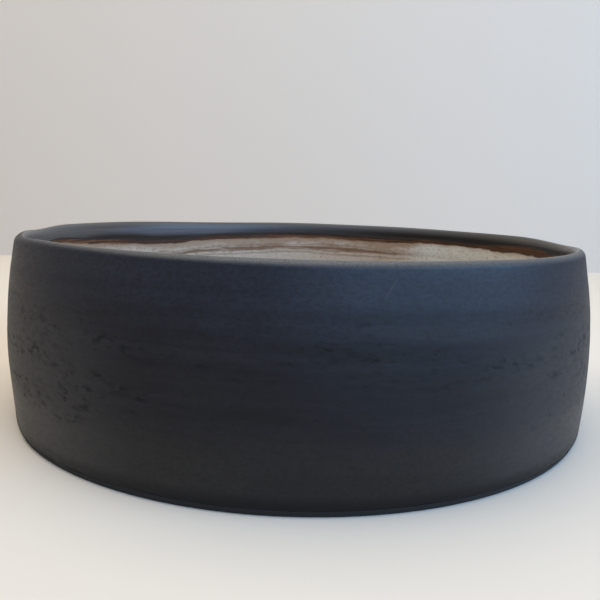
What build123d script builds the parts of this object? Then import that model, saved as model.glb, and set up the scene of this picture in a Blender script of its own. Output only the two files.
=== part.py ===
"""A wheel-thrown stoneware suiban with the needle holder that stands in it.

The bowl is a low drum with a softly bowed wall, a rounded lip, a bevelled foot and a shallow recess
turned under the base. Two fired coats cover the clay: a black one outside, over the lip and a little
way down inside, and a pale liner glaze below it. On the glazed floor stands a needle holder of three
pieces: a cast lead disc, brass needles set in it, and a rubber ring that keeps it off the glaze.

Millimetres, +Z up. The origin is on the table, under the middle of the bowl.
"""

import os
from math import sqrt

from build123d import *

# Outer wall of the finished bowl
BELLY_RADIUS = 130.0  # widest place
BELLY_HEIGHT = 26.0
BASE_DRAW = 1.0  # how far the wall draws in from the belly down to the foot's bevel
RIM_DRAW = 5.6  # how far the wall draws in from the belly up to the lip
RIM_HEIGHT = 76.0  # crest of the lip

# Thickness of the finished bowl
WALL_THICKNESS = 7.0  # at the belly and below
LIP_THICKNESS = 5.2
LIP_ROUND_OUT = 1.8  # outer edge of the lip
LIP_ROUND_IN = 2.8  # softer inner edge of the lip
FLOOR_HEIGHT = 9.0  # glazed floor above the table
COVE_RADIUS = 14.0  # hollow round corner between the wall and the floor

# Foot
BEVEL_HEIGHT = 2.4
BEVEL_INSET = 1.1
FOOT_RING_WIDTH = 14.0
RECESS_DEPTH = 1.8
RECESS_FLARE = 1.6  # slope of the recess's side, measured across

# Coats on the clay
BLACK_COAT = 0.5
LINER_GLAZE = 0.6
GLAZE_LINE_DROP = 8.0  # from the crest down to the line where the two coats meet inside

# Needle holder
DISC_RADIUS = 36.0
DISC_THICKNESS = 9.0
DISC_EDGE_ROUND = 1.2
NEEDLE_DIAMETER = 1.3  # across the corners
NEEDLE_SIDES = 6
NEEDLE_EXPOSED = 12.5
NEEDLE_SET_DEPTH = 5.0
NEEDLE_POINT = 3.0
NEEDLE_PITCH = 4.6
NEEDLE_EDGE_MARGIN = 4.2  # from the disc's side to the outermost needles
RING_SEAT_THICKNESS = 1.5  # rubber under the disc
RING_SEAT_WIDTH = 6.0
RING_WALL_THICKNESS = 2.0
RING_WALL_HEIGHT = 5.0  # above the seat
RING_CLEARANCE = 0.1  # between the rubber wall and the disc's side

# Places that follow from the sizes above
BASE_RADIUS = BELLY_RADIUS - BASE_DRAW
RIM_RADIUS = BELLY_RADIUS - RIM_DRAW
INNER_BELLY_RADIUS = BELLY_RADIUS - WALL_THICKNESS
INNER_BASE_RADIUS = BASE_RADIUS - WALL_THICKNESS
INNER_RIM_RADIUS = RIM_RADIUS - LIP_THICKNESS
FOOT_RADIUS = BASE_RADIUS - BEVEL_INSET
RECESS_RADIUS = FOOT_RADIUS - FOOT_RING_WIDTH
GLAZE_LINE_HEIGHT = RIM_HEIGHT - GLAZE_LINE_DROP
DISC_BOTTOM = FLOOR_HEIGHT + RING_SEAT_THICKNESS
DISC_TOP = DISC_BOTTOM + DISC_THICKNESS

# The most of the lip's thickness that its outer and inner rounding may take
LIP_OUT_SHARE = 0.36
LIP_IN_SHARE = 0.56
# The most of the height from the floor to the belly that the cove may take
COVE_SHARE = 0.9
UPRIGHT = (0, 1)
DOWNWARD = (0, -1)


def inner_wall_point(height):
    """Point of the inner face at a height between the belly and the crest, on its single arc."""
    rise = RIM_HEIGHT - BELLY_HEIGHT
    draw_in = INNER_BELLY_RADIUS - INNER_RIM_RADIUS
    bow = (rise**2 + draw_in**2) / (2 * draw_in)
    return (INNER_BELLY_RADIUS - bow + sqrt(bow**2 - (height - BELLY_HEIGHT) ** 2), height)


def rounded(lines, rounds):
    """The edges of some joined lines, with corners rounded, each given with its radius."""
    wire = Wire(lines)
    for corner, radius in rounds:
        vertex = wire.vertices().sort_by_distance((*corner, 0))[0]
        wire = wire.fillet_2d(radius, [vertex])
    return list(wire.edges())


def black_line():
    """The face that the black coat covers: up the outside, over the lip and down to the glaze line."""
    belly = (BELLY_RADIUS, BELLY_HEIGHT)
    lip_out = (RIM_RADIUS, RIM_HEIGHT)
    lip_in = inner_wall_point(RIM_HEIGHT)
    glaze_line = inner_wall_point(GLAZE_LINE_HEIGHT)
    between = inner_wall_point((RIM_HEIGHT + GLAZE_LINE_HEIGHT) / 2)
    wall_below = TangentArc(belly, (BASE_RADIUS, BEVEL_HEIGHT), tangent=DOWNWARD)
    wall_above = TangentArc(belly, lip_out, tangent=UPRIGHT)
    inside = ThreePointArc(lip_in, between, glaze_line)
    outer_round = min(LIP_ROUND_OUT, LIP_OUT_SHARE * LIP_THICKNESS)
    inner_round = min(LIP_ROUND_IN, LIP_IN_SHARE * LIP_THICKNESS)
    lip = rounded([wall_above, Line(lip_out, lip_in), inside], [(lip_out, outer_round), (lip_in, inner_round)])
    return [wall_below, *lip]


def liner_line():
    """The face that the liner glaze covers: from the glaze line down to the middle of the floor."""
    belly = (INNER_BELLY_RADIUS, BELLY_HEIGHT)
    corner = (INNER_BASE_RADIUS, FLOOR_HEIGHT)
    wall_above = TangentArc(belly, inner_wall_point(GLAZE_LINE_HEIGHT), tangent=UPRIGHT)
    wall_below = TangentArc(belly, corner, tangent=DOWNWARD)
    floor = Line(corner, (0, FLOOR_HEIGHT))
    cove = min(COVE_RADIUS, COVE_SHARE * (BELLY_HEIGHT - FLOOR_HEIGHT))
    return [wall_above, *rounded([wall_below, floor], [(corner, cove)])]


def foot_line():
    """Underside from the foot's bevel to the middle of the turned recess."""
    return [
        Polyline(
            (BASE_RADIUS, BEVEL_HEIGHT),
            (FOOT_RADIUS, 0),
            (RECESS_RADIUS, 0),
            (RECESS_RADIUS - RECESS_FLARE, RECESS_DEPTH),
            (0, RECESS_DEPTH),
            (0, FLOOR_HEIGHT),
        )
    ]


def bowl_section():
    """Half section of the finished bowl, coats included."""
    return make_face(black_line() + liner_line() + foot_line())


def beside(edge, along, turn, distance):
    """The point at a distance from a place along an edge, square to the edge there."""
    return edge.position_at(along) + edge.tangent_at(along).rotate(Axis.Z, turn) * distance


def coat_strip(edge, thickness, bowl):
    """The strip of the bowl's section that lies within a coat's thickness of one line or arc of its outline."""
    inward = 90 if bowl.face().is_inside(beside(edge, 0.5, 90, thickness)) else -90
    start, middle, end = [beside(edge, along, inward, thickness) for along in (0, 0.5, 1)]
    back = Line(start, end) if edge.geom_type == GeomType.LINE else ThreePointArc(start, middle, end)
    return make_face([edge, Line(edge.position_at(0), start), back, Line(end, edge.position_at(1))])


def coat_section(lines, thickness, bowl):
    """A coat's section: the strips of its lines, joined."""
    strips = [coat_strip(edge, thickness, bowl) for line in lines for edge in line.edges()]
    return strips[0] + strips[1:]


def turned(section):
    """A solid of revolution from a half section drawn as radius and height."""
    return revolve(Plane.XZ * section, Axis.Z)


def needle_places():
    """Places of the needles: staggered rows that fill a circle."""
    field_radius = DISC_RADIUS - NEEDLE_EDGE_MARGIN
    row_step = NEEDLE_PITCH * sqrt(3) / 2
    rows = int(field_radius / row_step)
    across = int(field_radius / NEEDLE_PITCH) + 1
    places = []
    for row in range(-rows, rows + 1):
        stagger = NEEDLE_PITCH / 2 * (row % 2)
        for step in range(-across, across + 1):
            x, y = step * NEEDLE_PITCH + stagger, row * row_step
            if x**2 + y**2 <= field_radius**2:
                places.append((x, y))
    return places


def needle():
    """One needle, standing on its set end: a slim shank with a ground point."""
    outline = RegularPolygon(NEEDLE_DIAMETER / 2, NEEDLE_SIDES)
    shank_length = NEEDLE_SET_DEPTH + NEEDLE_EXPOSED - NEEDLE_POINT
    shank = extrude(outline, shank_length)
    tip = loft([Pos(0, 0, shank_length) * outline.face(), Vertex(0, 0, shank_length + NEEDLE_POINT)])
    return shank + tip


def standing_needles():
    """Every needle in its place in the disc, as separate solids."""
    foot = DISC_TOP - NEEDLE_SET_DEPTH
    one = needle().solid()
    return [Pos(x, y, foot) * one for x, y in needle_places()]


def lead_disc():
    """The cast disc, with a socket for each needle."""
    disc = Pos(0, 0, DISC_BOTTOM) * Cylinder(
        DISC_RADIUS, DISC_THICKNESS, align=(Align.CENTER, Align.CENTER, Align.MIN)
    )
    disc = fillet(disc.edges().group_by(Axis.Z)[-1], DISC_EDGE_ROUND)
    shank = RegularPolygon(NEEDLE_DIAMETER / 2, NEEDLE_SIDES)
    sockets = [Pos(x, y, DISC_TOP) * extrude(shank, -NEEDLE_SET_DEPTH) for x, y in needle_places()]
    return disc - sockets


def rubber_ring():
    """Angle-section ring: the disc stands on its seat and is held by its wall."""
    seat_inner = DISC_RADIUS - RING_SEAT_WIDTH
    wall_inner = DISC_RADIUS + RING_CLEARANCE
    wall_outer = wall_inner + RING_WALL_THICKNESS
    wall_top = DISC_BOTTOM + RING_WALL_HEIGHT
    section = make_face(
        Polyline(
            (seat_inner, FLOOR_HEIGHT),
            (wall_outer, FLOOR_HEIGHT),
            (wall_outer, wall_top),
            (wall_inner, wall_top),
            (wall_inner, DISC_BOTTOM),
            (seat_inner, DISC_BOTTOM),
            close=True,
        )
    )
    return turned(section)


def write(name, shape):
    """Writes one named piece."""
    shape.label = name
    export_step(shape, os.path.join("parts", name + ".step"))


def main():
    os.makedirs("parts", exist_ok=True)
    bowl = bowl_section()
    black = coat_section(black_line(), BLACK_COAT, bowl)
    liner = coat_section(liner_line(), LINER_GLAZE, bowl)
    write("stoneware_body", turned(bowl - black - liner))
    write("black_outer_coat", turned(black))
    write("pale_liner_glaze", turned(liner))
    write("kenzan_lead_disc", lead_disc())
    write("kenzan_needles", Compound(children=standing_needles()))
    write("kenzan_rubber_ring", rubber_ring())


main()
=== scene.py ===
"""Dresses the thrown suiban: torn black coat, pale liner glaze, bare turned foot and the needle holder.

Metres, +Z up, in the part's own frame: the origin is on the table, under the middle of the bowl.
"""

import math
import random

import bpy
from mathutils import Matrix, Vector


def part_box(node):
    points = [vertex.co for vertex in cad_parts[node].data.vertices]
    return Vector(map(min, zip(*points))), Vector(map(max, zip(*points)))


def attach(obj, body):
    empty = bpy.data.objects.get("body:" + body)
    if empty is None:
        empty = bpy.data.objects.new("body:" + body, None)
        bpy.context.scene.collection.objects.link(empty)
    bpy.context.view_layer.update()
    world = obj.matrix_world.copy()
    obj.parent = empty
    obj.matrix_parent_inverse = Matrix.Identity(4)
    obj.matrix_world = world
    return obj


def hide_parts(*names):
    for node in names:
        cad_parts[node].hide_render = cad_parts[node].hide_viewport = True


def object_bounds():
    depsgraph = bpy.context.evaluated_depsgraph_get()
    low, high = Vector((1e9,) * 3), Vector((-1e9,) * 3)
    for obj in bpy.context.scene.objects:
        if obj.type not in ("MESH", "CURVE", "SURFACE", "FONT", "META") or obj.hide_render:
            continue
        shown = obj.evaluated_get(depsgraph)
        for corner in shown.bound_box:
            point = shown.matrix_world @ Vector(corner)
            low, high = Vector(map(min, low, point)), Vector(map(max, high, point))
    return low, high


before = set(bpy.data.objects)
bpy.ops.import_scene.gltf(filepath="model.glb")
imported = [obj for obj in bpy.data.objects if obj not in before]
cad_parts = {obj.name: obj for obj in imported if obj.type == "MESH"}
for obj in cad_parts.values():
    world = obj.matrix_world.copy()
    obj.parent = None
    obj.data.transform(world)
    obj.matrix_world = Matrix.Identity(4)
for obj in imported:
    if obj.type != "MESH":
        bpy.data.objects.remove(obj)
cad_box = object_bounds()

MM = 0.001

# The frame that the looks are fitted to
coat_low, coat_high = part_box("black_outer_coat")
disc_low, disc_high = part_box("kenzan_lead_disc")
needles_low, needles_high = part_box("kenzan_needles")
ring_low, ring_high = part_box("kenzan_rubber_ring")

# Modelling: the room left inside the part's box, and how near two vertices count as one
BOX_MARGIN = 0.05 * MM
SAME_PLACE = 0.01 * MM
MERGE_REACH = 0.002 * MM
CREASE_ANGLE = math.radians(40)

# The thrown wall
CREST = coat_high.z
BELLY_RADIUS = min(-cad_box[0].x, -cad_box[0].y, cad_box[1].x, cad_box[1].y) - BOX_MARGIN
BELLY_HEIGHT = 26.0 * MM
RIM_DRAW = 5.6 * MM
BASE_DRAW = 1.0 * MM
WALL_THICKNESS = 7.0 * MM
LIP_THICKNESS = 5.2 * MM
LIP_RADIUS = BELLY_RADIUS - RIM_DRAW
LIP_CREST = 2.6 * MM
LIP_SLOPE_HEIGHT = 5.2 * MM
LIP_SLOPE_FOOT = CREST - LIP_SLOPE_HEIGHT
LIP_ROUND = 2.2 * MM
LIP_SEGMENTS = 8
FLOOR_TOP = ring_low.z
COVE_RADIUS = 14.0 * MM
BEVEL_TOP = 2.4 * MM
BEVEL_INSET = 1.1 * MM
FOOT_RADIUS = BELLY_RADIUS - BASE_DRAW - BEVEL_INSET
FOOT_RING_WIDTH = 14.0 * MM
FOOT_ROUND = 0.5 * MM
FOOT_SEGMENTS = 3
RECESS_DEPTH = 1.8 * MM
RECESS_FLARE = 1.6 * MM

# How finely the half sections are pulled and then turned
FINE_STEP = 0.52 * MM
INNER_LIP_STEP = 0.9 * MM
WALL_STEP = 1.0 * MM
FLOOR_STEP = 2.4 * MM
BACK_STEP = 4 * MM
CLAY_STEP = 5 * MM
LIP_STEP = math.radians(9)
COVE_STEP = math.radians(7)
COAT_WHEEL_STEPS = 440
LINER_WHEEL_STEPS = 300
CLAY_WHEEL_STEPS = 240
DISC_WHEEL_STEPS = 128

# The black coat
COAT_DEPTH = 1.2 * MM
COAT_FOOT = 0.9 * MM
COAT_END = 58.0 * MM
COAT_SINK = 0.3 * MM
COAT_DIVE = 63.5 * MM
COAT_DIVE_DEPTH = 0.9 * MM
OUTER_FACE_DEPTH = 0.3 * MM
# Depths under the crest, and the height over the bevel, where the presses fade out
LIP_FADE = (2 * MM, 8 * MM)
FOOT_FADE = 3 * MM
# Heights where the tears start and where they end, each from none to all
TORN_FROM = (8 * MM, 20 * MM)
TORN_TO = (66 * MM, 57 * MM)
TEAR_RAMP = (0.60, 0.84)
TEAR_SIZE = (5.0 * MM, 5.0 * MM, 2.2 * MM)
TEAR_DEPTH = 0.07 * MM
NIBBLE_TOP = 5 * MM
NIBBLE_INSET = 1.15 * MM
# Presses on the coat: name, layers of cloud, grain along X, Y and Z, depth, where it acts and which way
COAT_PRESSES = (
    ("wheel_rings", 2, (500 * MM, 500 * MM, 7 * MM), 0.07 * MM, "outside", "NORMAL"),
    ("hand_wobble", 1, (140 * MM, 140 * MM, 70 * MM), 0.2 * MM, "outside", "NORMAL"),
    ("ragged_foot", 2, (7 * MM, 7 * MM, 7 * MM), -0.9 * MM, "foot_edge", "Z"),
    ("nibbled_bevel", 2, (5 * MM, 5 * MM, 3 * MM), 0.4 * MM, "bevel", "NORMAL"),
)
# The foot of the scratch as (x, height), and the way that it climbs from there
SCRATCH_FOOT = (23.8 * MM, 64.6 * MM)
SCRATCH_SLANT = (0.51, 0.86)
# Places round the lip where it dips or flares: degrees from +X, outward move, upward move, and reach
LIP_MOVES = (
    (184, 0.2 * MM, -1.0 * MM, 28 * MM),
    (206, 0.7 * MM, -0.8 * MM, 42 * MM),
    (357, 0.1 * MM, -1.1 * MM, 45 * MM),
    (340, -0.5 * MM, 0.0 * MM, 30 * MM),
    (75, 0.0 * MM, -0.25 * MM, 60 * MM),
    (118, 0.0 * MM, -0.8 * MM, 70 * MM),
    (38, 0.0 * MM, -0.4 * MM, 70 * MM),
    (318, 0.2 * MM, -0.2 * MM, 50 * MM),
)
# The place where the foot stands less round: degrees from +X, height, move inward and reach
FOOT_FLAT = (207, 5.0 * MM, 1.0 * MM, 32 * MM)

# The liner glaze
GLAZE_EDGE = CREST - 7.4 * MM
GLAZE_DEPTH = 0.8 * MM
GLAZE_LAP = 0.05 * MM
GLAZE_LAP_RISE = 0.6 * MM
GLAZE_BACK_DROP = 0.5 * MM
# Radii, and depths under the glaze's edge, where the finger rings start, each from none to all
THROWN_FROM = (46 * MM, 60 * MM)
THROWN_BELOW = (5 * MM, 14 * MM)
FINGER_RING_SIZE = (300 * MM, 300 * MM, 7 * MM)
FINGER_RING_DEPTH = 0.3 * MM
# Places round the bowl, in degrees from +X, where the glaze line dips or climbs, how far, and its reach
GLAZE_RUNS = (
    (148, -2.7 * MM, 56 * MM),
    (132, -2.6 * MM, 38 * MM),
    (178, 1.1 * MM, 26 * MM),
    (85, 1.1 * MM, 60 * MM),
    (45, 0.7 * MM, 45 * MM),
    (8, 2.4 * MM, 58 * MM),
    (232, -2.2 * MM, 50 * MM),
    (300, 1.2 * MM, 40 * MM),
    (328, -1.6 * MM, 34 * MM),
)

# The bare clay
CLAY_CLEARANCE = 0.1 * MM
CLAY_INSET = COAT_DEPTH + CLAY_CLEARANCE
CLAY_WALL_FOOT = BEVEL_TOP + 0.5 * MM
CLAY_TOP = CREST - 4 * MM
RIPPLE_DEPTH = 0.12 * MM
RIPPLE_PITCH = 4.5 * MM
RIPPLE_STEP = 0.9 * MM

# The needle holder
NEEDLE_DIAMETER = 1.3 * MM
NEEDLE_SIDES = 8
NEEDLE_POINT = 3.0 * MM
# How the point is ground: the share of its height that each slope takes, and how much of its width is left
NEEDLE_GRINDS = ((0.4, 0.72), (0.6, 0.06))
NEEDLE_PITCH = 4.6 * MM
NEEDLE_EDGE_MARGIN = 4.2 * MM
TWIST_SEED = 7
DISC_SINK = 0.25 * MM
DISC_STEP = 3 * MM
DISC_ROUND = 1.2 * MM
DISC_SEGMENTS = 4
COLLAR_FOOT_RADIUS = 1.25 * MM
COLLAR_TOP_RADIUS = 0.68 * MM
COLLAR_HEIGHT = 0.7 * MM
COLLAR_DROP = 0.15 * MM
RING_SEAT_WIDTH = 6.0 * MM
RING_CLEARANCE = 0.1 * MM
RING_ROUND = 0.35 * MM
RING_SEGMENTS = 3
RIB_DEPTH = 0.2 * MM
RIB_STEPS = 12

# Colours of the black coat; a pair is blended from one to the other
# The low, middle and high coat colours carry painted light: the low zone lighter as floor bounce, the middle
# darker as shade, the high zone bluer as sky reflection
COAT_LOW = ((0.0140, 0.0130, 0.0128), (0.0102, 0.0097, 0.0097))
COAT_MIDDLE = ((0.0064, 0.0066, 0.0102), (0.0043, 0.0045, 0.0076))
COAT_HIGH = ((0.0160, 0.0190, 0.0300), (0.0120, 0.0145, 0.0240))
COAT_BAND = (0.026, 0.0257, 0.0265)
COAT_SHADE = (0.003, 0.003, 0.004)
# Painted sheen: the flanks are lighter where the wall would reflect the pale room
COAT_FLANK_SHEEN = (0.075, 0.074, 0.077)
# Painted shade at the foot: a dark band low on the wall, a little less dark on the bevel
COAT_FOOT_SHADE = (0.0012, 0.0014, 0.0026)
COAT_BEVEL_SHADE = (0.0065, 0.0072, 0.0092)
COAT_MARK = (0.002, 0.002, 0.0025)
COAT_SCRATCH = (0.09, 0.09, 0.09)
# The next three colours are painted sky reflection on the lip's inside, lighter towards the left
LIP_SHEEN = ((0.014, 0.012, 0.011), (0.060, 0.060, 0.067))
LIP_PALE_SHEEN = (0.128, 0.127, 0.144)
LIP_WARM_SHEEN = (0.115, 0.100, 0.088)
LIP_SOOT = ((0.028, 0.020, 0.016), (0.060, 0.044, 0.036))
# Painted highlight at the top of the lip's inside
LIP_HIGHLIGHT = ((0.098, 0.095, 0.095), (0.110, 0.096, 0.084))
LIP_BRUSHED = (0.030, 0.028, 0.027)
# The crest's colour: part rubbed coat, part painted highlight
LIP_WORN_AND_LIT = ((0.110, 0.108, 0.104), (0.118, 0.103, 0.086))
# How strongly the marks and the scratch show, and the radii where the lip's inside begins, from none to all
MARK_STRENGTH = 0.52
SCRATCH_STRENGTH = 0.16
LIP_INSIDE = (122.8 * MM, 121.8 * MM)

# Colours of the liner glaze
GLAZE_LEFT = ((0.50, 0.40, 0.31), (0.50, 0.44, 0.36))
GLAZE_RIGHT = (0.68, 0.675, 0.625)
GLAZE_UPPER = (0.36, 0.25, 0.17)
GLAZE_FRECKLE = (0.30, 0.22, 0.155)
GLAZE_MOTTLE = (0.27, 0.18, 0.115)
GLAZE_RING = (0.17, 0.092, 0.050)
GLAZE_TAN = (0.31, 0.20, 0.125)
GLAZE_RUST = ((0.054, 0.022, 0.010), (0.150, 0.064, 0.027))
GLAZE_BARE_EDGE = (0.026, 0.016, 0.012)
GLAZE_SPECK = (0.055, 0.032, 0.022)
SPECK_STRENGTH = 0.65
# Brown rings in the glaze: depth under its edge, half width and strength
GLAZE_RINGS = ((8.0 * MM, 0.9 * MM, 0.55), (10.2 * MM, 2.1 * MM, 1.0), (13.4 * MM, 1.0 * MM, 0.5))

# Colours of the clay and the needle holder
CLAY_TONES = ((0.060, 0.043, 0.034), (0.045, 0.035, 0.030))
CLAY_TOOTH = (0.13, 0.095, 0.075)
CLAY_GROG = (0.22, 0.17, 0.13)
CLAY_IRON = (0.012, 0.009, 0.008)
# Painted shade on the outer edge of the foot
CLAY_FOOT_SHADE = (0.006, 0.006, 0.007)
LEAD_TONES = ((0.13, 0.135, 0.145), (0.27, 0.275, 0.28))
LEAD_RUBBED = (0.36, 0.36, 0.35)
BRASS_TONES = ((0.78, 0.57, 0.24), (0.24, 0.15, 0.06))
RUBBER_TONES = ((0.014, 0.014, 0.015), (0.045, 0.044, 0.042))
# The smallest of scattered spots, as a share of the largest
SMALLEST_SPOT = 0.45

# The studio, in metres
FLOOR_WIDTH = 8.0
FLOOR_LENGTH = 6.0
FLOOR_COLOUR = (0.71, 0.65, 0.565)
FLOOR_ROUGHNESS = 0.9
BACKDROP_PLACE = 560.0 * MM
BACKDROP_SHIFT = -1.75
BACKDROP_WIDTH = 4.5
BACKDROP_HEIGHT = 3.0
BACKDROP_COLOUR = (0.64, 0.575, 0.505)
BACKDROP_ROUGHNESS = 0.95
# Soft lights: name, place, width and height, power in watts, and colour
PANELS = (
    ("overhead_panel", (-0.2, 0.1, 1.3), (1.6, 1.6), 20.0, (1.0, 0.90, 0.77)),
    ("window_panel", (0.96, -0.80, 0.62), (2.0, 0.76), 26.0, (0.34, 0.61, 1.0)),
)
PANEL_TARGET = (0, 0, 30 * MM)
ROOM_COLOUR = (1.0, 0.97, 0.93, 1.0)
ROOM_STRENGTH = 0.36

# The portrait's camera
PICTURE_SIDE = 600
CAMERA_FOCAL_PIXELS = 615.0
CAMERA_PLACE = (0.2 * MM, -296.4 * MM, 93.8 * MM)
CAMERA_PITCH = math.radians(9.60)
CAMERA_ROLL = math.radians(1.71)
CAMERA_CLIP_START = 10 * MM
SENSOR_WIDTH_MM = 36.0


def put_down():
    """Leaves edit mode and deselects everything, so that the next operator acts on its own piece alone."""
    if bpy.context.object and bpy.context.object.mode != "OBJECT":
        bpy.ops.object.mode_set(mode="OBJECT")
    bpy.ops.object.select_all(action="DESELECT")


def take(piece):
    """Makes a piece the only selected one."""
    put_down()
    piece.select_set(True)
    bpy.context.view_layer.objects.active = piece


def apply_place():
    """Puts the place, turn and scale of the selected piece into its mesh."""
    bpy.ops.object.transform_apply(location=True, rotation=True, scale=True)


def pick_vertices(piece, wanted):
    """Selects, in edit mode, the vertices whose place is wanted."""
    take(piece)
    bpy.ops.object.mode_set(mode="EDIT")
    bpy.context.tool_settings.mesh_select_mode = (True, False, False)
    bpy.ops.mesh.select_all(action="DESELECT")
    bpy.ops.object.mode_set(mode="OBJECT")
    for vertex in piece.data.vertices:
        vertex.select = wanted(vertex.co)
    bpy.ops.object.mode_set(mode="EDIT")


def at_points(points):
    """A test for the vertices of a half section that lie at some points."""
    return lambda co: any(math.dist((co.x, co.z), point) < SAME_PLACE for point in points)


def pull_profile(name, points, closed=False):
    """A half section, pulled vertex by vertex through points given as (radius, height)."""
    put_down()
    radius, height = points[0]
    bpy.ops.mesh.primitive_plane_add(size=MM, location=(radius, 0, height))
    piece = bpy.context.object
    piece.name = name
    piece.data.name = name
    bpy.ops.object.mode_set(mode="EDIT")
    bpy.ops.mesh.merge(type="CENTER")
    for (r0, z0), (r1, z1) in zip(points, points[1:]):
        bpy.ops.mesh.extrude_vertices_move(TRANSFORM_OT_translate={"value": (r1 - r0, 0, z1 - z0)})
    bpy.ops.object.mode_set(mode="OBJECT")
    apply_place()
    if closed:
        pick_vertices(piece, at_points((points[0], points[-1])))
        bpy.ops.mesh.edge_face_add()
    put_down()
    return piece


def round_corners(piece, corners, reach, segments):
    """Rounds some corners of a half section."""
    pick_vertices(piece, at_points(corners))
    bpy.ops.mesh.bevel(offset=reach, segments=segments, affect="VERTICES")
    put_down()


def mark(piece, name, measure):
    """Keeps a measure of each vertex, for the finish to read."""
    values = [measure(vertex) for vertex in piece.data.vertices]
    piece.data.attributes.new(name, "FLOAT", "POINT").data.foreach_set("value", values)


def weigh(piece, name, measure):
    """A vertex group that says how far a surface movement reaches."""
    group = piece.vertex_groups.new(name=name)
    for vertex in piece.data.vertices:
        group.add([vertex.index], measure(vertex.co), "REPLACE")


def turn_on_wheel(piece, steps):
    """Turns a half section all the way round the wheel's axis."""
    take(piece)
    bpy.ops.object.mode_set(mode="EDIT")
    bpy.ops.mesh.select_all(action="SELECT")
    bpy.ops.mesh.spin(steps=steps, angle=math.tau, center=(0, 0, 0), axis=(0, 0, 1))
    bpy.ops.mesh.select_all(action="SELECT")
    bpy.ops.mesh.remove_doubles(threshold=MERGE_REACH)
    bpy.ops.mesh.normals_make_consistent(inside=False)
    put_down()


def outward(degrees):
    """The level direction away from the wheel's axis, at some degrees from +X."""
    return Vector((math.cos(math.radians(degrees)), math.sin(math.radians(degrees)), 0))


def straight_up(distance):
    """A move along +Z."""
    return Vector((0, 0, distance))


def nudge(piece, place, move, reach):
    """Moves the vertex nearest to a place, and draws its surroundings along."""
    nearest = min(piece.data.vertices, key=lambda vertex: (vertex.co - place).length)
    spot = nearest.co.copy()
    pick_vertices(piece, lambda co: (co - spot).length < SAME_PLACE)
    bpy.ops.transform.translate(
        value=move, use_proportional_edit=True, proportional_edit_falloff="SMOOTH", proportional_size=reach
    )
    put_down()


def press_surface(piece, name, texture, size, depth, group, direction="NORMAL"):
    """Presses a surface by a texture whose grain has the given size along X, Y and Z."""
    put_down()
    bpy.ops.object.empty_add()
    ruler = bpy.context.object
    ruler.scale = size
    take(piece)
    press = piece.modifiers.new(name, "DISPLACE")
    press.texture = texture
    press.texture_coords = "OBJECT"
    press.texture_coords_object = ruler
    press.direction = direction
    press.strength = -depth
    press.mid_level = 0.0
    press.vertex_group = group
    bpy.ops.object.modifier_apply(modifier=name)
    bpy.data.objects.remove(ruler)


def cloud_texture(name, layers=2):
    """Soft clouds, about one unit across, in some layers of fineness."""
    texture = bpy.data.textures.new(name, "CLOUDS")
    texture.noise_scale = 1.0
    texture.noise_depth = layers
    return texture


def tear_texture(name, start, full):
    """Clouds of which only the highest spots are left."""
    texture = cloud_texture(name, layers=1)
    texture.use_color_ramp = True
    low, high = texture.color_ramp.elements
    low.position, low.color = start, (0, 0, 0, 1)
    high.position, high.color = full, (1, 1, 1, 1)
    return texture


def smooth(piece):
    """Shades a piece smooth, and keeps its sharp edges."""
    take(piece)
    bpy.ops.object.shade_smooth_by_angle(angle=CREASE_ANGLE)
    put_down()


def spread(start, end, step):
    """Evenly spaced values from start to end, about a step apart."""
    count = max(1, round(abs(end - start) / step))
    return [start + (end - start) * index / count for index in range(count + 1)]


def ramp(value, start, full):
    """0 at start, 1 at full, and straight between."""
    return min(1.0, max(0.0, (value - start) / (full - start)))


def wall_radius(height):
    """Outer face of the bowed wall."""
    if height > BELLY_HEIGHT:
        return BELLY_RADIUS - RIM_DRAW * ((height - BELLY_HEIGHT) / (CREST - BELLY_HEIGHT)) ** 2
    return BELLY_RADIUS - BASE_DRAW * ((BELLY_HEIGHT - height) / (BELLY_HEIGHT - BEVEL_TOP)) ** 2


def inside_radius(height):
    """Inner face of the wall, above the cove."""
    thinning = max(0.0, (height - BELLY_HEIGHT) / (CREST - BELLY_HEIGHT)) ** 2
    return wall_radius(height) - WALL_THICKNESS + (WALL_THICKNESS - LIP_THICKNESS) * thinning


def run_along(face_radius, offset, heights):
    """Points at some heights, beside a face of the wall."""
    return [(face_radius(height) + offset, height) for height in heights]


def inside_line(edge, inset):
    """The glazed face from the middle of the floor to an edge on the wall, or a line below it by an inset."""
    centre_height = FLOOR_TOP + COVE_RADIUS
    centre_radius = inside_radius(centre_height) - COVE_RADIUS
    floor = [(radius, FLOOR_TOP - inset) for radius in spread(0, centre_radius, FLOOR_STEP)]
    reach = COVE_RADIUS + inset
    cove = [
        (centre_radius + reach * math.sin(angle), centre_height - reach * math.cos(angle))
        for angle in spread(0, math.pi / 2, COVE_STEP)[1:]
    ]
    wall = run_along(inside_radius, inset, spread(centre_height, edge, WALL_STEP)[1:])
    return floor + cove + wall


def lip_slope():
    """The lip's soft inner side, a quarter of an ellipse from the crest down."""
    crest_radius = LIP_RADIUS - LIP_CREST
    reach = crest_radius - inside_radius(LIP_SLOPE_FOOT) - COAT_SINK
    return [
        (crest_radius - reach * math.sin(angle), LIP_SLOPE_FOOT + LIP_SLOPE_HEIGHT * math.cos(angle))
        for angle in spread(0, math.pi / 2, LIP_STEP)
    ]


def add_node(tree, kind, options=None, sockets=None):
    """Adds a node, sets its options and fills its sockets with values or links."""
    made = tree.nodes.new("ShaderNode" + kind)
    for name, value in (options or {}).items():
        setattr(made, name, value)
    for key, value in (sockets or {}).items():
        if isinstance(value, bpy.types.NodeSocket):
            tree.links.new(value, made.inputs[key])
        else:
            made.inputs[key].default_value = value
    return made


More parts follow.
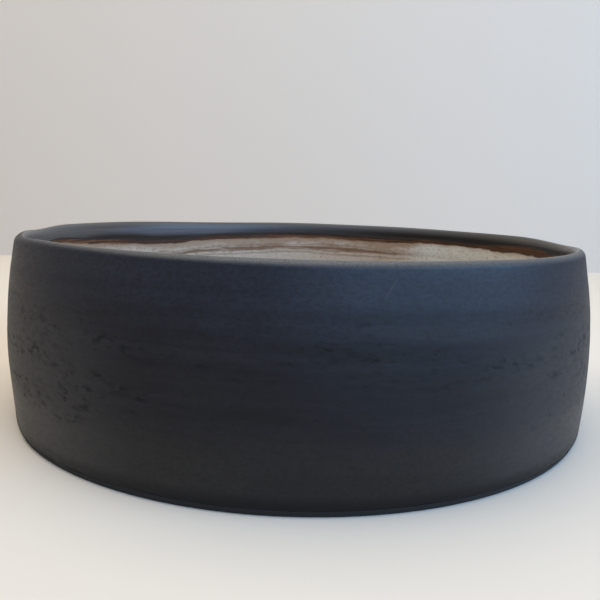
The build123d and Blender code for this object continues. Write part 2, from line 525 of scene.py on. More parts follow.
def new_finish(name, **sockets):
    """A material, its node tree and its surface shader with some fixed values."""
    material = bpy.data.materials.new(name)
    material.use_nodes = True
    tree = material.node_tree
    shader = tree.nodes["Principled BSDF"]
    for key, value in sockets.items():
        shader.inputs[key.replace("_", " ")].default_value = value
    return material, tree, shader


def connect(tree, shader, **sockets):
    """Links values to sockets of the surface shader."""
    for key, value in sockets.items():
        tree.links.new(value, shader.inputs[key.replace("_", " ")])


def bump(tree, shader, height, depth, strength):
    """Fine relief of the surface."""
    sockets = {"Height": height, "Distance": depth, "Strength": strength}
    connect(tree, shader, Normal=add_node(tree, "Bump", sockets=sockets).outputs["Normal"])


def object_place(tree):
    """A point's place in the piece's own frame."""
    return add_node(tree, "TexCoord").outputs["Object"]


def coordinate(tree, place, axis):
    """One coordinate of a place."""
    return add_node(tree, "SeparateXYZ", sockets={"Vector": place}).outputs[axis]


def radius_of(tree, place):
    """Distance from the wheel's axis."""
    flat = add_node(tree, "VectorMath", {"operation": "MULTIPLY"}, {0: place, 1: (1, 1, 0)}).outputs["Vector"]
    return add_node(tree, "VectorMath", {"operation": "LENGTH"}, {0: flat}).outputs["Value"]


def own_mark(tree, name):
    """A measure that was kept on the piece's vertices."""
    return add_node(tree, "Attribute", {"attribute_name": name}).outputs["Fac"]


def calc(tree, operation, first, second=0.0):
    """The result of one operation on values."""
    return add_node(tree, "Math", {"operation": operation}, {0: first, 1: second}).outputs["Value"]


def times(tree, first, second):
    """The product of two values."""
    return calc(tree, "MULTIPLY", first, second)


def plus(tree, first, second):
    """The sum of two values."""
    return calc(tree, "ADD", first, second)


def minus(tree, first, second):
    """What is left of the first value without the second."""
    return calc(tree, "SUBTRACT", first, second)


def larger(tree, first, second):
    """The larger of two values."""
    return calc(tree, "MAXIMUM", first, second)


def apart(tree, value, middle):
    """How far a value lies from a middle, either way."""
    return calc(tree, "ABSOLUTE", minus(tree, value, middle))


def remap(tree, value, low, high, to_low=0.0, to_high=1.0):
    """Takes a value's range from low to high softly to another range, and stops at its ends."""
    sockets = {"Value": value, "From Min": low, "From Max": high, "To Min": to_low, "To Max": to_high}
    options = {"interpolation_type": "SMOOTHSTEP"}
    return add_node(tree, "MapRange", options, sockets).outputs["Result"]


def band(tree, value, rise, fall):
    """1 where a value lies in a band, whose start and end are each given from none to all."""
    return times(tree, remap(tree, value, *rise), remap(tree, value, *fall))


def blend_colour(tree, share, first, second):
    """The first colour, with a share of the second."""
    mixed = add_node(tree, "Mix", {"data_type": "RGBA"}, {0: share})
    for key, value in ((6, first), (7, second)):
        if isinstance(value, bpy.types.NodeSocket):
            tree.links.new(value, mixed.inputs[key])
        else:
            mixed.inputs[key].default_value = (*value, 1.0)
    return mixed.outputs[2]


def grain(tree, place, wide, tall, detail=2.0, roughness=0.5):
    """Cloudy noise whose spots are about the given size along X and Y, and along Z."""
    scale = (1.0 / wide, 1.0 / wide, 1.0 / tall)
    stretched = add_node(tree, "Mapping", sockets={"Vector": place, "Scale": scale}).outputs["Vector"]
    sockets = {"Vector": stretched, "Scale": 1.0, "Detail": detail, "Roughness": roughness}
    return add_node(tree, "TexNoise", sockets=sockets).outputs["Fac"]


def spots(tree, place, spacing, radius, share):
    """Scattered round spots: a mask that is 1 inside them. Only a share of the places hold one."""
    cells = add_node(tree, "TexVoronoi", sockets={"Vector": place, "Scale": 1.0 / spacing, "Randomness": 1.0})
    lottery = add_node(tree, "SeparateColor", sockets={"Color": cells.outputs["Color"]})
    largest = radius / spacing
    size = remap(tree, lottery.outputs["Green"], 0.0, 1.0, SMALLEST_SPOT * largest, largest)
    inside = minus(tree, 1.0, calc(tree, "DIVIDE", cells.outputs["Distance"], size))
    soft = remap(tree, inside, 0.0, 0.5)
    drawn = remap(tree, lottery.outputs["Red"], share, share - 0.02)
    return times(tree, soft, drawn)


def coat_marks(tree, place, height, across):
    """Where the wheel tore the drying coat: soft marks in ragged rows, with a few pits."""
    rows = grain(tree, place, wide=50 * MM, tall=7 * MM)
    sideways = apart(tree, across, 22 * MM)
    crowding = plus(tree, rows, remap(tree, sideways, 10 * MM, 90 * MM, 0.04, 0.05))
    ragged = plus(tree, height, remap(tree, rows, 0.2, 0.8, -8 * MM, 8 * MM))
    near = remap(tree, sideways, 110 * MM, 50 * MM)
    above = minus(tree, ragged, times(tree, near, 18 * MM))
    below = minus(tree, ragged, times(tree, near, 5 * MM))
    zone = times(tree, remap(tree, above, 12 * MM, 26 * MM), remap(tree, below, 60 * MM, 52 * MM))
    torn_rows = times(tree, zone, remap(tree, crowding, 0.42, 0.62))
    clumps = remap(tree, grain(tree, place, wide=15 * MM, tall=4.5 * MM), 0.38, 0.56)
    flecks = remap(tree, grain(tree, place, wide=4.3 * MM, tall=2.1 * MM, detail=2.5), 0.49, 0.72)
    clumped = times(tree, times(tree, flecks, torn_rows), clumps)
    pressed = times(tree, own_mark(tree, "torn"), remap(tree, torn_rows, 0.1, 0.9, 0.08, 0.55))
    tears = larger(tree, clumped, pressed)
    scattered = spots(tree, place, spacing=6.5 * MM, radius=0.75 * MM, share=0.3)
    pits = times(tree, scattered, remap(tree, height, 64 * MM, 54 * MM))
    return larger(tree, tears, pits)


def coat_tone(tree, place, height, across):
    """Blue-black under the lip, greyer below and at the flanks, darkest at the foot, with wheel bands; the
    tones carry painted light: sky reflection under the lip, floor bounce below, shade in the middle, sheen at
    the flanks and shade at the foot.
    """
    clouds = remap(tree, grain(tree, place, wide=40 * MM, tall=18 * MM, detail=3.0), 0.35, 0.65)
    bands = grain(tree, place, wide=120 * MM, tall=4.5 * MM, detail=3.0, roughness=0.55)
    shades = remap(tree, grain(tree, place, wide=34 * MM, tall=3.6 * MM, detail=3.0), 0.48, 0.72, 0.0, 0.6)
    speckle = remap(tree, grain(tree, place, wide=1.5 * MM, tall=1.0 * MM), 0.35, 0.7, 0.0, 0.42)
    ragged = plus(tree, height, remap(tree, bands, 0.2, 0.8, -7 * MM, 7 * MM))
    # Painted light by height: floor bounce low down, shade in the middle, blue sky reflection up high
    low_tone = blend_colour(tree, clouds, *COAT_LOW)
    middle_tone = blend_colour(tree, clouds, *COAT_MIDDLE)
    high_tone = blend_colour(tree, clouds, *COAT_HIGH)
    lower = blend_colour(tree, remap(tree, ragged, 14 * MM, 32 * MM), low_tone, middle_tone)
    base = blend_colour(tree, remap(tree, ragged, 40 * MM, 72 * MM), lower, high_tone)
    banded = blend_colour(tree, remap(tree, bands, 0.4, 0.8, 0.0, 0.26), base, COAT_BAND)
    speckled = blend_colour(tree, speckle, banded, COAT_SHADE)
    middle = band(tree, height, (16 * MM, 28 * MM), (64 * MM, 54 * MM))
    shaded = blend_colour(tree, times(tree, shades, middle), speckled, COAT_SHADE)
    # Painted sheen: the flanks are lighter where the wall would reflect the pale room
    flank_sheen = remap(tree, calc(tree, "ABSOLUTE", across), 45 * MM, 85 * MM, 0.0, 0.2)
    bloom_and_sheen = times(tree, flank_sheen, remap(tree, height, 60 * MM, 46 * MM))
    sheened = blend_colour(tree, bloom_and_sheen, shaded, COAT_FLANK_SHEEN)
    # Painted shade: darker towards the foot, a little less dark on the bevel
    darker_below = blend_colour(tree, remap(tree, height, 8 * MM, 3.4 * MM, 0.0, 0.95), sheened, COAT_FOOT_SHADE)
    return blend_colour(tree, remap(tree, height, 2.8 * MM, 2.2 * MM), darker_below, COAT_BEVEL_SHADE)


def lip_tone(tree, place, height, across):
    """Inside of the lip: a painted highlight at the crest, painted sky reflection below it, lighter towards
    the left, and sooty down to the glaze.
    """
    # Painted sky reflection, lighter towards the left
    sheen = blend_colour(tree, remap(tree, across, 75 * MM, -20 * MM), *LIP_SHEEN)
    pale_sheen = blend_colour(tree, remap(tree, across, -20 * MM, -58 * MM), sheen, LIP_PALE_SHEEN)
    warm_sheen = blend_colour(tree, remap(tree, across, -98 * MM, -113 * MM), pale_sheen, LIP_WARM_SHEEN)
    rise = remap(tree, apart(tree, across, -104 * MM), 15 * MM, 3 * MM, 0.0, 1.3 * MM)
    fall = remap(tree, apart(tree, across, -80 * MM), 42 * MM, 14 * MM, 0.0, 1.0 * MM)
    sunk = plus(tree, minus(tree, height, rise), fall)
    soot = blend_colour(tree, remap(tree, across, 102 * MM, 114 * MM), *LIP_SOOT)
    darker_below = blend_colour(tree, remap(tree, sunk, CREST - 8.8 * MM, CREST - 5.5 * MM), soot, warm_sheen)
    # Painted highlight at the top of the lip's inside
    highlight_tone = blend_colour(tree, remap(tree, across, 40 * MM, -40 * MM), *LIP_HIGHLIGHT)
    highlighted = blend_colour(tree, remap(tree, height, CREST - 5 * MM, CREST - 1.5 * MM), darker_below, highlight_tone)
    brushed = remap(tree, grain(tree, place, wide=60 * MM, tall=0.7 * MM), 0.3, 0.7, 0.0, 0.35)
    return blend_colour(tree, brushed, highlighted, LIP_BRUSHED)


def scratch_mask(tree, place, height, across):
    """One fine scratch that slants down the wall under the near lip."""
    foot_across, foot_height = SCRATCH_FOOT
    slant_across, slant_up = SCRATCH_SLANT
    sideways = minus(tree, across, foot_across)
    climbed = minus(tree, height, foot_height)
    aside = minus(tree, times(tree, sideways, slant_up), times(tree, climbed, slant_across))
    line = remap(tree, calc(tree, "ABSOLUTE", aside), 0.28 * MM, 0.08 * MM)
    length = band(tree, climbed, (0.0, 2.5 * MM), (8.0 * MM, 6.0 * MM))
    front = remap(tree, coordinate(tree, place, "Y"), -60 * MM, -70 * MM)
    return times(tree, front, times(tree, line, length))


def crest_wear_and_highlight(tree, height, across, inside, tooth):
    """How far the crest is lighter, part rubbed coat and part painted highlight, less far down the outside
    towards the left.
    """
    kept = times(tree, minus(tree, 1.0, inside), remap(tree, across, 10 * MM, -100 * MM, 0.0, 1.2 * MM))
    crest = remap(tree, minus(tree, height, kept), CREST - 2.4 * MM, CREST - 0.2 * MM)
    return times(tree, crest, remap(tree, tooth, 0.3, 0.6, 0.5, 0.9))


def crest_wear_and_highlight_tone(tree, place, across):
    """The rubbed crest with its painted highlight, warmer at the back left."""
    back = remap(tree, coordinate(tree, place, "Y"), -10 * MM, 30 * MM)
    back_left = times(tree, back, remap(tree, across, 40 * MM, -40 * MM))
    return blend_colour(tree, back_left, *LIP_WORN_AND_LIT)


def black_coat_finish():
    """Satin blue-black coat: smooth under the lip, torn by the wheel below, rubbed on the lip, with painted
    sky reflection, sheen, shade and a highlight at the lip.
    """
    material, tree, shader = new_finish("torn_black_coat", Specular_IOR_Level=0.25)
    place = object_place(tree)
    height = coordinate(tree, place, "Z")
    across = coordinate(tree, place, "X")
    marks = coat_marks(tree, place, height, across)
    scratch = scratch_mask(tree, place, height, across)
    tooth = grain(tree, place, wide=0.6 * MM, tall=0.45 * MM)
    drag = grain(tree, place, wide=3.2 * MM, tall=1.1 * MM, detail=3.0, roughness=0.6)
    inside = remap(tree, radius_of(tree, place), *LIP_INSIDE)
    outer_tone = coat_tone(tree, place, height, across)
    lined = blend_colour(tree, inside, outer_tone, lip_tone(tree, place, height, across))
    marked = blend_colour(tree, times(tree, marks, MARK_STRENGTH), lined, COAT_MARK)
    scratched = blend_colour(tree, times(tree, scratch, SCRATCH_STRENGTH), marked, COAT_SCRATCH)
    # Part rubbed coat, part painted highlight along the crest
    wear_and_highlight = crest_wear_and_highlight(tree, height, across, inside, tooth)
    worn_and_lit = blend_colour(tree, wear_and_highlight, scratched, crest_wear_and_highlight_tone(tree, place, across))
    middle = band(tree, height, (12 * MM, 30 * MM), (62 * MM, 46 * MM))
    satin = minus(tree, remap(tree, middle, 0.0, 1.0, 0.47, 0.56), times(tree, inside, 0.13))
    dragged = plus(tree, satin, remap(tree, drag, 0.3, 0.7, -0.04, 0.04))
    rough = plus(tree, dragged, times(tree, marks, 0.25))
    skin = plus(tree, times(tree, tooth, 0.20), times(tree, drag, 0.32))
    relief = minus(tree, skin, times(tree, marks, 0.6))
    connect(tree, shader, Base_Color=worn_and_lit, Roughness=rough)
    bump(tree, shader, relief, depth=0.2 * MM, strength=0.8)
    return material


def glaze_rings(tree, place, depth):
    """Soft brown rings that the glaze broke into on the wall, in streaks."""
    slow = grain(tree, place, wide=38 * MM, tall=9 * MM)
    wander = plus(tree, depth, remap(tree, slow, 0.2, 0.8, -0.8 * MM, 0.8 * MM))
    rings = 0.0
    for middle, width, strength in GLAZE_RINGS:
        ring = remap(tree, apart(tree, wander, middle), width, 0.2 * width, 0.0, strength)
        rings = larger(tree, rings, ring)
    streaks = remap(tree, grain(tree, place, wide=18 * MM, tall=1.3 * MM, detail=3.0), 0.28, 0.50, 0.25, 1.0)
    return times(tree, rings, streaks)


def pale_tone(tree, place, across, depth, clouds, fine):
    """The thick glaze: browner towards its edge, palest at the right, with freckles and mottles."""
    right = times(tree, remap(tree, across, 58 * MM, 84 * MM), remap(tree, depth, 34 * MM, 18 * MM))
    paling = plus(tree, depth, remap(tree, clouds, 0.3, 0.7, -3.5 * MM, 3.5 * MM))
    reach = plus(tree, paling, times(tree, right, 6 * MM))
    left_tone = blend_colour(tree, remap(tree, depth, 14 * MM, 40 * MM), *GLAZE_LEFT)
    low_tone = blend_colour(tree, right, left_tone, GLAZE_RIGHT)
    pale = blend_colour(tree, remap(tree, reach, 3.5 * MM, 11 * MM), GLAZE_UPPER, low_tone)
    freckled = blend_colour(tree, remap(tree, fine, 0.5, 0.75, 0.0, 0.55), pale, GLAZE_FRECKLE)
    mottles = remap(tree, grain(tree, place, wide=3.2 * MM, tall=1.7 * MM, detail=3.0), 0.5, 0.68, 0.0, 0.6)
    fewer = times(tree, mottles, remap(tree, across, 60 * MM, 85 * MM, 1.0, 0.35))
    strewn = times(tree, fewer, remap(tree, depth, 22 * MM, 8 * MM))
    return blend_colour(tree, strewn, freckled, GLAZE_MOTTLE)


def rust_tone(tree, place, across):
    """The thin glaze: dark rust, with brighter streaks at the far left and along the middle."""
    streaks = remap(tree, grain(tree, place, wide=26 * MM, tall=0.8 * MM), 0.4, 0.6)
    glow_left = remap(tree, across, -98 * MM, -107 * MM)
    glow_start = remap(tree, across, -66 * MM, -36 * MM, 0.1, 0.8)
    glow_middle = times(tree, glow_start, remap(tree, across, 50 * MM, 85 * MM, 1.0, 0.6))
    drawn = times(tree, streaks, larger(tree, glow_left, glow_middle))
    return blend_colour(tree, drawn, *GLAZE_RUST)


def liner_glaze_finish():
    """Pale satin glaze that breaks rust-brown at its thin upper edge, with brown rings and iron specks."""
    material, tree, shader = new_finish("pale_liner_glaze", Specular_IOR_Level=0.32)
    place = object_place(tree)
    across = coordinate(tree, place, "X")
    sideways = calc(tree, "ABSOLUTE", across)
    clouds = grain(tree, place, wide=22 * MM, tall=6 * MM, detail=4.0)
    fine = grain(tree, place, wide=1.6 * MM, tall=0.8 * MM, detail=3.0)
    ragged = grain(tree, place, wide=12 * MM, tall=3 * MM, detail=4.0, roughness=0.7)
    uneven = remap(tree, ragged, 0.25, 0.75, -0.55 * MM, 0.55 * MM)
    depth = plus(tree, own_mark(tree, "below_edge"), uneven)
    pale = pale_tone(tree, place, across, depth, clouds, fine)
    faded = remap(tree, across, 82 * MM, 52 * MM, 0.15, 0.9)
    rings = times(tree, glaze_rings(tree, place, depth), faded)
    ringed = blend_colour(tree, rings, pale, GLAZE_RING)
    middle = remap(tree, sideways, 78 * MM, 50 * MM, 0.0, 0.9 * MM)
    thinned = plus(tree, middle, remap(tree, across, 82 * MM, 93 * MM, 0.0, -0.5 * MM))
    widened = plus(tree, thinned, remap(tree, across, 103 * MM, 114 * MM, 0.0, 1.8 * MM))
    rusty = minus(tree, depth, widened)
    less_right = remap(tree, across, 60 * MM, 25 * MM, 0.3, 1.0)
    fired = times(tree, remap(tree, rusty, 4.6 * MM, 2.6 * MM), less_right)
    tanned = blend_colour(tree, fired, ringed, GLAZE_TAN)
    rust_share = remap(tree, rusty, 3.0 * MM, 2.0 * MM)
    rusted = blend_colour(tree, rust_share, tanned, rust_tone(tree, place, across))
    ends = remap(tree, sideways, 60 * MM, 100 * MM, 0.0, 0.6 * MM)
    bared = plus(tree, minus(tree, depth, times(tree, middle, 0.5)), ends)
    edged = blend_colour(tree, remap(tree, bared, 1.2 * MM, 0.5 * MM), rusted, GLAZE_BARE_EDGE)
    large = spots(tree, place, spacing=4.5 * MM, radius=0.55 * MM, share=0.35)
    small = spots(tree, place, spacing=2.6 * MM, radius=0.32 * MM, share=0.5)
    specks = times(tree, larger(tree, large, small), SPECK_STRENGTH)
    specked = blend_colour(tree, specks, edged, GLAZE_SPECK)
    rough = remap(tree, depth, 1.0 * MM, 5.0 * MM, 0.75, 0.42)
    connect(tree, shader, Base_Color=specked, Roughness=rough)
    bump(tree, shader, plus(tree, fine, clouds), depth=0.12 * MM, strength=0.5)
    return material


def bare_clay_finish():
    """Dry dark stoneware with pale grog and iron spots, and painted shade at the edge of the foot."""
    material, tree, shader = new_finish("bare_dark_clay", Roughness=0.9)
    place = object_place(tree)
    clouds = grain(tree, place, wide=18 * MM, tall=18 * MM, detail=4.0)
    tooth = grain(tree, place, wide=0.6 * MM, tall=0.6 * MM, detail=3.0)
    grog = spots(tree, place, spacing=3.2 * MM, radius=0.5 * MM, share=0.4)
    iron = spots(tree, place, spacing=5.0 * MM, radius=0.8 * MM, share=0.3)
    base = blend_colour(tree, remap(tree, clouds, 0.3, 0.7), *CLAY_TONES)
    toothed = blend_colour(tree, remap(tree, tooth, 0.45, 0.75, 0.0, 0.5), base, CLAY_TOOTH)
    grogged = blend_colour(tree, times(tree, grog, 0.7), toothed, CLAY_GROG)
    spotted = blend_colour(tree, iron, grogged, CLAY_IRON)
    # Painted shade on the outer edge of the foot
    foot_shade = remap(tree, radius_of(tree, place), FOOT_RADIUS - 3.0 * MM, FOOT_RADIUS)
    relief = minus(tree, plus(tree, tooth, grog), iron)
    connect(tree, shader, Base_Color=blend_colour(tree, foot_shade, spotted, CLAY_FOOT_SHADE))
    bump(tree, shader, relief, depth=0.15 * MM, strength=0.8)
    return material


def cast_lead_finish():
    """Dull cast lead with a grey bloom and brighter rubbed spots."""
    material, tree, shader = new_finish("cast_lead", Metallic=0.85)
    place = object_place(tree)
    bloom_and_sheen = grain(tree, place, wide=9 * MM, tall=9 * MM, detail=5.0, roughness=0.6)
    fine = grain(tree, place, wide=0.9 * MM, tall=0.9 * MM, detail=3.0)
    base = blend_colour(tree, remap(tree, bloom_and_sheen, 0.35, 0.65), *LEAD_TONES)
    rubbed = blend_colour(tree, remap(tree, fine, 0.5, 0.8, 0.0, 0.6), base, LEAD_RUBBED)
    connect(tree, shader, Base_Color=rubbed, Roughness=remap(tree, bloom_and_sheen, 0.3, 0.7, 0.42, 0.68))
    bump(tree, shader, plus(tree, fine, bloom_and_sheen), depth=0.12 * MM, strength=0.7)
    return material


def brass_finish():
    """Drawn brass, bright at the points and tarnished towards the lead."""
    material, tree, shader = new_finish("drawn_brass", Metallic=1.0)
    place = object_place(tree)
    height = coordinate(tree, place, "Z")
    drawn = grain(tree, place, wide=0.25 * MM, tall=6 * MM)
    tarnish = grain(tree, place, wide=4 * MM, tall=3 * MM, detail=3.0)
    low = remap(tree, height, disc_high.z + 6 * MM, disc_high.z, 0.0, 0.75)
    dulled = times(tree, plus(tree, low, 0.25), remap(tree, tarnish, 0.3, 0.7, 0.4, 1.0))
    tone = blend_colour(tree, dulled, *BRASS_TONES)
    connect(tree, shader, Base_Color=tone, Roughness=remap(tree, drawn, 0.3, 0.7, 0.22, 0.36))
    return material


def rubber_finish():
    """Moulded black rubber with a dry bloom."""
    material, tree, shader = new_finish("moulded_rubber", Specular_IOR_Level=0.35)
    place = object_place(tree)
    dust = grain(tree, place, wide=6 * MM, tall=3 * MM, detail=4.0)
    fine = grain(tree, place, wide=0.35 * MM, tall=0.35 * MM)
    tone = blend_colour(tree, remap(tree, dust, 0.45, 0.75), *RUBBER_TONES)
    connect(tree, shader, Base_Color=tone, Roughness=remap(tree, dust, 0.3, 0.7, 0.6, 0.82))
    bump(tree, shader, fine, depth=0.05 * MM, strength=0.6)
    return material


def plain_finish(name, colour, roughness):
    """One even colour."""
    return new_finish(name, Base_Color=(*colour, 1.0), Roughness=roughness)[0]


def on_outside(co):
    """1 on the coat's outer face, fading out over the lip and the foot, and 0 elsewhere."""
    if co.x < wall_radius(co.z) - OUTER_FACE_DEPTH:
        return 0.0
    near_lip, clear_of_lip = LIP_FADE
    under_lip = ramp(co.z, CREST - near_lip, CREST - clear_of_lip)
    return under_lip * ramp(co.z, BEVEL_TOP, BEVEL_TOP + FOOT_FADE)


def in_torn_zone(co):
    """1 where the wheel tore the coat, fading out above and below."""
    return on_outside(co) * ramp(co.z, *TORN_FROM) * ramp(co.z, *TORN_TO)


def on_bevel(co):
    """1 on the coat's face at the foot's bevel, fading out above it, and 0 behind the face."""
    edge_radius = wall_radius(BEVEL_TOP)
    on_face = ramp(co.x, edge_radius - NIBBLE_INSET, edge_radius - BEVEL_INSET)
    return ramp(co.z, NIBBLE_TOP, BEVEL_TOP) * on_face


def on_thrown_wall(co):
    """1 on the glazed wall and outer floor, fading out to the middle and to the glaze's edge."""
    near_edge, clear_of_edge = THROWN_BELOW
    return ramp(co.x, *THROWN_FROM) * ramp(co.z, GLAZE_EDGE - near_edge, GLAZE_EDGE - clear_of_edge)


def move_lip(piece, radius, height):
    """Lets the lip dip and flare, and draws a piece that starts below the crest along."""
    for degrees, out, up, reach in LIP_MOVES:
        nearness = 1 - (CREST - height) / reach
        share = nearness**2 * (3 - 2 * nearness)
        around = outward(degrees)
        place = around * radius + straight_up(height)
        nudge(piece, place, (around * out + straight_up(up)) * share, reach)


def flatten_foot(piece):
    """Draws the foot in a little where it stands less round."""
    degrees, height, inward, reach = FOOT_FLAT
    around = outward(degrees)
    place = around * wall_radius(height) + straight_up(height)
    nudge(piece, place, around * -inward, reach)


def run_glaze_line(piece):
    """Lets the line where the glaze ends dip and climb round the bowl."""
    radius = inside_radius(GLAZE_EDGE)
    for degrees, run, reach in GLAZE_RUNS:
        around = outward(degrees)
        place = around * radius + straight_up(GLAZE_EDGE)
        along_wall = around * (inside_radius(GLAZE_EDGE + run) - radius) + straight_up(run)
        nudge(piece, place, along_wall, reach)


def black_coat():
    """The black coat: up the outside, over the lip and down inside to under the glaze."""
    lip_out = (LIP_RADIUS, CREST)
    below_lip = CREST - 2 * LIP_ROUND
    foot = (wall_radius(BEVEL_TOP) - BEVEL_INSET * (1 - COAT_FOOT / BEVEL_TOP), COAT_FOOT)
    outside = run_along(wall_radius, 0.0, spread(BEVEL_TOP, below_lip, FINE_STEP))
    inside = [
        (inside_radius(height) + COAT_SINK + COAT_DIVE_DEPTH * ramp(height, COAT_DIVE, COAT_END), height)
        for height in spread(LIP_SLOPE_FOOT - INNER_LIP_STEP, COAT_END, INNER_LIP_STEP)
    ]
    back_in = run_along(inside_radius, COAT_DEPTH, spread(COAT_END, LIP_SLOPE_FOOT, BACK_STEP))
    back_out = run_along(wall_radius, -COAT_DEPTH, spread(below_lip, BEVEL_TOP, BACK_STEP))
    points = [foot] + outside + [lip_out] + lip_slope() + inside + back_in + back_out
    piece = pull_profile("torn_black_coat", points, closed=True)
    round_corners(piece, (lip_out,), LIP_ROUND, LIP_SEGMENTS)
    weigh(piece, "outside", on_outside)
    weigh(piece, "torn_zone", in_torn_zone)
    weigh(piece, "foot_edge", lambda co: ramp(co.z, BEVEL_TOP, COAT_FOOT))
    weigh(piece, "bevel", on_bevel)
    turn_on_wheel(piece, COAT_WHEEL_STEPS)
    move_lip(piece, LIP_RADIUS - LIP_CREST / 2, CREST)
    flatten_foot(piece)
    for name, layers, size, depth, group, direction in COAT_PRESSES:
        press_surface(piece, name, cloud_texture(name, layers), size, depth, group, direction)
    smooth_places = [vertex.co.copy() for vertex in piece.data.vertices]
    press_surface(piece, "tears", tear_texture("tears", *TEAR_RAMP), TEAR_SIZE, TEAR_DEPTH, "torn_zone")
    mark(piece, "torn", lambda vertex: (vertex.co - smooth_places[vertex.index]).length / TEAR_DEPTH)
    smooth(piece)
    return piece


def liner_glaze():
    """The pale liner: from its uneven edge down the wall and over the floor."""
    face = inside_line(GLAZE_EDGE, 0.0)
    edge = [(inside_radius(GLAZE_EDGE) + COAT_SINK + GLAZE_LAP, GLAZE_EDGE + GLAZE_LAP_RISE)]
    back = inside_line(GLAZE_EDGE - GLAZE_BACK_DROP, GLAZE_DEPTH)
    piece = pull_profile("pale_liner_skin", face + edge + back[::-1])
    mark(piece, "below_edge", lambda vertex: GLAZE_EDGE - vertex.co.z)
    weigh(piece, "thrown", on_thrown_wall)
    turn_on_wheel(piece, LINER_WHEEL_STEPS)
    move_lip(piece, inside_radius(GLAZE_EDGE), GLAZE_EDGE)
    run_glaze_line(piece)
    finger_rings = cloud_texture("finger_rings")
    press_surface(piece, "finger_rings", finger_rings, FINGER_RING_SIZE, FINGER_RING_DEPTH, "thrown")
    smooth(piece)
    return piece


def clay_body():
    """The bare clay: turned recess, foot ring and bevel, and the wall hidden under the coats."""
    recess_radius = FOOT_RADIUS - FOOT_RING_WIDTH
    recess_edge = recess_radius - RECESS_FLARE
    turned = [
        (radius, RECESS_DEPTH + RIPPLE_DEPTH * math.sin(math.tau * radius / RIPPLE_PITCH))
        for radius in spread(0, recess_edge, RIPPLE_STEP)
    ]
    foot_ring = [(recess_radius, 0.0), (FOOT_RADIUS, 0.0)]
    bevel = [(wall_radius(BEVEL_TOP) - CLAY_CLEARANCE, BEVEL_TOP)]
    outside = run_along(wall_radius, -CLAY_INSET, spread(CLAY_WALL_FOOT, CLAY_TOP, CLAY_STEP))
    inside = inside_line(LIP_SLOPE_FOOT, CLAY_INSET)
    piece = pull_profile("bare_clay_body", turned + foot_ring + bevel + outside + inside[::-1])
    round_corners(piece, foot_ring, FOOT_ROUND, FOOT_SEGMENTS)
    turn_on_wheel(piece, CLAY_WHEEL_STEPS)
    flatten_foot(piece)
    smooth(piece)
    return piece


def needle_places():
    """Places of the needles: staggered rows that fill a circle."""
    field_radius = disc_high.x - NEEDLE_EDGE_MARGIN
    row_step = NEEDLE_PITCH * math.sqrt(3) / 2
    rows = int(field_radius / row_step)
    across = int(field_radius / NEEDLE_PITCH) + 1
    grid = [
        (step * NEEDLE_PITCH + NEEDLE_PITCH / 2 * (row % 2), row * row_step)
        for row in range(-rows, rows + 1)
        for step in range(-across, across + 1)
    ]
    return [(x, y) for x, y in grid if math.hypot(x, y) <= field_radius]


def set_copies(model, places, twists):
    """Sets a copy of a model at each place and joins them into one piece."""
    copies = []
    for (x, y), twist in zip(places, twists):
        copy = model.copy()
        copy.data = model.data.copy()
        copy.location = (x, y, 0)
        copy.rotation_euler = (0, 0, twist)
        bpy.context.scene.collection.objects.link(copy)
        copies.append(copy)
    bpy.data.objects.remove(model)
    take(copies[0])
    for copy in copies:
        copy.select_set(True)
    bpy.ops.object.join()
    apply_place()
    joined = bpy.context.object
    put_down()
    return joined


def lead_collars():
    """A low collar of lead round each needle."""
    put_down()
    middle = disc_high.z - COLLAR_DROP
    bpy.ops.mesh.primitive_cone_add(
        vertices=NEEDLE_SIDES,
        radius1=COLLAR_FOOT_RADIUS,
        radius2=COLLAR_TOP_RADIUS,
        depth=COLLAR_HEIGHT,
        location=(0, 0, middle),
    )
    collar = bpy.context.object
    apply_place()
    smooth(collar)
    places = needle_places()
    return set_copies(collar, places, [0.0] * len(places))


def lead_disc():
    """The cast weight with rounded edges, a slightly sunk top and its collars."""
    radius, low, high = disc_high.x, disc_low.z, disc_high.z
    sunk_top = [(r, high - DISC_SINK * (1 - (r / radius) ** 2)) for r in spread(radius, 0, DISC_STEP)]
    piece = pull_profile("cast_lead_weight", [(0, low), (radius, low)] + sunk_top)
    round_corners(piece, ((radius, low), (radius, high)), DISC_ROUND, DISC_SEGMENTS)
    turn_on_wheel(piece, DISC_WHEEL_STEPS)
    smooth(piece)
    collars = lead_collars()
    take(piece)
    collars.select_set(True)
    bpy.ops.object.join()
    put_down()
    return piece


def brass_needles():
    """The needles: slim shanks ground to a point, each turned its own way."""
    put_down()
    length = needles_high.z - NEEDLE_POINT - needles_low.z
    middle = needles_low.z + length / 2
    top = needles_low.z + length
    bpy.ops.mesh.primitive_cylinder_add(
        vertices=NEEDLE_SIDES, radius=NEEDLE_DIAMETER / 2, depth=length, location=(0, 0, middle)
    )
    needle = bpy.context.object
    apply_place()
    pick_vertices(needle, lambda co: co.z > top - SAME_PLACE)
    for share, narrowing in NEEDLE_GRINDS:
        bpy.ops.mesh.extrude_region_move(TRANSFORM_OT_translate={"value": (0, 0, share * NEEDLE_POINT)})
        bpy.ops.transform.resize(value=(narrowing, narrowing, 1))
    put_down()
    smooth(needle)
    drift = random.Random(TWIST_SEED)
    places = needle_places()
    twists = [drift.uniform(0, math.tau) for place in places]
    piece = set_copies(needle, places, twists)
    piece.name = "ground_brass_needles"
    return piece


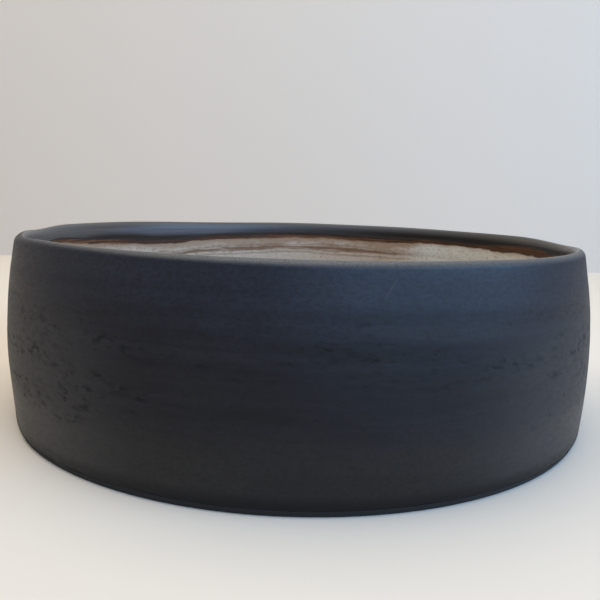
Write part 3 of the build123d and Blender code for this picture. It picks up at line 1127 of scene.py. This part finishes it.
def rubber_ring():
    """The moulded ring: a seat under the weight and a ribbed wall round it."""
    low, seat, top = ring_low.z, disc_low.z, ring_high.z
    outer = ring_high.x
    seat_inner = disc_high.x - RING_SEAT_WIDTH
    wall_inner = disc_high.x + RING_CLEARANCE
    lower = [(seat_inner, low), (outer, low)]
    ribs = [
        (outer - RIB_DEPTH * (index % 2), low + (top - low) * (index + 1) / RIB_STEPS)
        for index in range(RIB_STEPS - 1)
    ]
    upper = [(outer, top), (wall_inner, top)]
    seat_line = [(wall_inner, seat), (seat_inner, seat)]
    piece = pull_profile("moulded_rubber_ring", lower + ribs + upper + seat_line, closed=True)
    round_corners(piece, lower + upper, RING_ROUND, RING_SEGMENTS)
    turn_on_wheel(piece, DISC_WHEEL_STEPS)
    smooth(piece)
    return piece


def ride(piece, body, node, finish):
    """Gives a piece its finish and puts it on its body, in the place of its plain solid."""
    piece.data.materials.clear()
    piece.data.materials.append(finish)
    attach(piece, body)
    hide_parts(node)


def add_plane(name, place, turn, size, finish):
    """A flat surface of the studio."""
    put_down()
    bpy.ops.mesh.primitive_plane_add(size=1, location=place, rotation=turn)
    plane = bpy.context.object
    plane.name = name
    plane.scale = (*size, 1)
    apply_place()
    plane.data.materials.append(finish)
    return plane


def add_panel(name, place, size, power, colour):
    """A soft rectangular light that faces the bowl."""
    data = bpy.data.lights.new(name, "AREA")
    data.shape = "RECTANGLE"
    data.size, data.size_y = size
    data.energy = power
    data.color = colour
    panel = bpy.data.objects.new(name, data)
    bpy.context.scene.collection.objects.link(panel)
    panel.location = place
    panel.rotation_euler = (Vector(PANEL_TARGET) - Vector(place)).to_track_quat("-Z", "Y").to_euler()


def light_room():
    """Even light from all round."""
    world = bpy.data.worlds.new("soft_room")
    bpy.context.scene.world = world
    world.use_nodes = True
    background = world.node_tree.nodes["Background"]
    background.inputs["Color"].default_value = ROOM_COLOUR
    background.inputs["Strength"].default_value = ROOM_STRENGTH


def set_camera():
    """The camera at the portrait's place."""
    data = bpy.data.cameras.new("portrait_camera")
    data.sensor_width = SENSOR_WIDTH_MM
    data.lens = CAMERA_FOCAL_PIXELS / PICTURE_SIDE * SENSOR_WIDTH_MM
    data.clip_start = CAMERA_CLIP_START
    camera = bpy.data.objects.new("portrait_camera", data)
    bpy.context.scene.collection.objects.link(camera)
    camera.location = CAMERA_PLACE
    camera.rotation_mode = "ZYX"
    camera.rotation_euler = (math.pi / 2 - CAMERA_PITCH, 0, CAMERA_ROLL)
    bpy.context.scene.camera = camera


def studio():
    """A plain pale floor and backdrop, soft light and the camera."""
    floor_finish = plain_finish("pale_floor", FLOOR_COLOUR, FLOOR_ROUGHNESS)
    floor_place = (0, BACKDROP_PLACE - FLOOR_LENGTH / 2, 0)
    floor_size = (FLOOR_WIDTH, FLOOR_LENGTH)
    floor = add_plane("studio_floor", floor_place, (0, 0, 0), floor_size, floor_finish)
    backdrop_finish = plain_finish("pale_backdrop", BACKDROP_COLOUR, BACKDROP_ROUGHNESS)
    backdrop_place = (BACKDROP_SHIFT, BACKDROP_PLACE, BACKDROP_HEIGHT / 2)
    backdrop_size = (BACKDROP_WIDTH, BACKDROP_HEIGHT)
    upright = (math.pi / 2, 0, 0)
    backdrop = add_plane("studio_backdrop", backdrop_place, upright, backdrop_size, backdrop_finish)
    for panel in PANELS:
        add_panel(*panel)
    light_room()
    set_camera()
    bpy.context.scene.view_settings.view_transform = "Standard"


ride(black_coat(), "bowl", "black_outer_coat", black_coat_finish())
ride(liner_glaze(), "bowl", "pale_liner_glaze", liner_glaze_finish())
ride(clay_body(), "bowl", "stoneware_body", bare_clay_finish())
ride(lead_disc(), "kenzan", "kenzan_lead_disc", cast_lead_finish())
ride(brass_needles(), "kenzan", "kenzan_needles", brass_finish())
ride(rubber_ring(), "kenzan", "kenzan_rubber_ring", rubber_finish())
studio()
